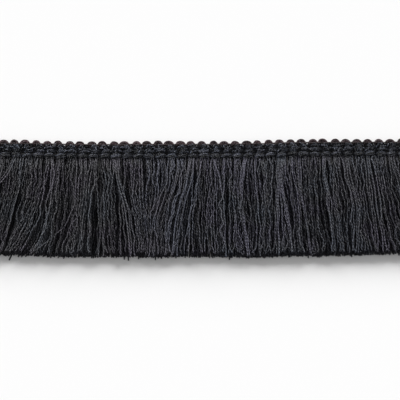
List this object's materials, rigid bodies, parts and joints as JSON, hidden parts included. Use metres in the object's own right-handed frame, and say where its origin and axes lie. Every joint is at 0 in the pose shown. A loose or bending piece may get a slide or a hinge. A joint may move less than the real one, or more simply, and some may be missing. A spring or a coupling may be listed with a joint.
{
  "type": "brush fringe trim",
  "caption": "Cut length of black brush fringe trim: a narrow crocheted heading with a looped edge, and a dense skirt of cut yarns for edging cushions, lamps and curtains.",
  "frame": {"origin": "the middle of the heading's flat back, on the surface that the trim lies on or is sewn to", "axes": "+X along the heading, +Y from the skirt towards the looped edge, +Z out of the face, away from the surface"},
  "size_m": [0.1664, 0.0399, 0.0027],
  "materials": {
    "heading_yarn": "matte black crocheted yarn",
    "skirt_yarn": "soft black spun yarn, cut"
  },
  "bodies": {
    "root": {"heading": "heading_yarn", "fringe": "skirt_yarn"}
  },
  "joints": []
}
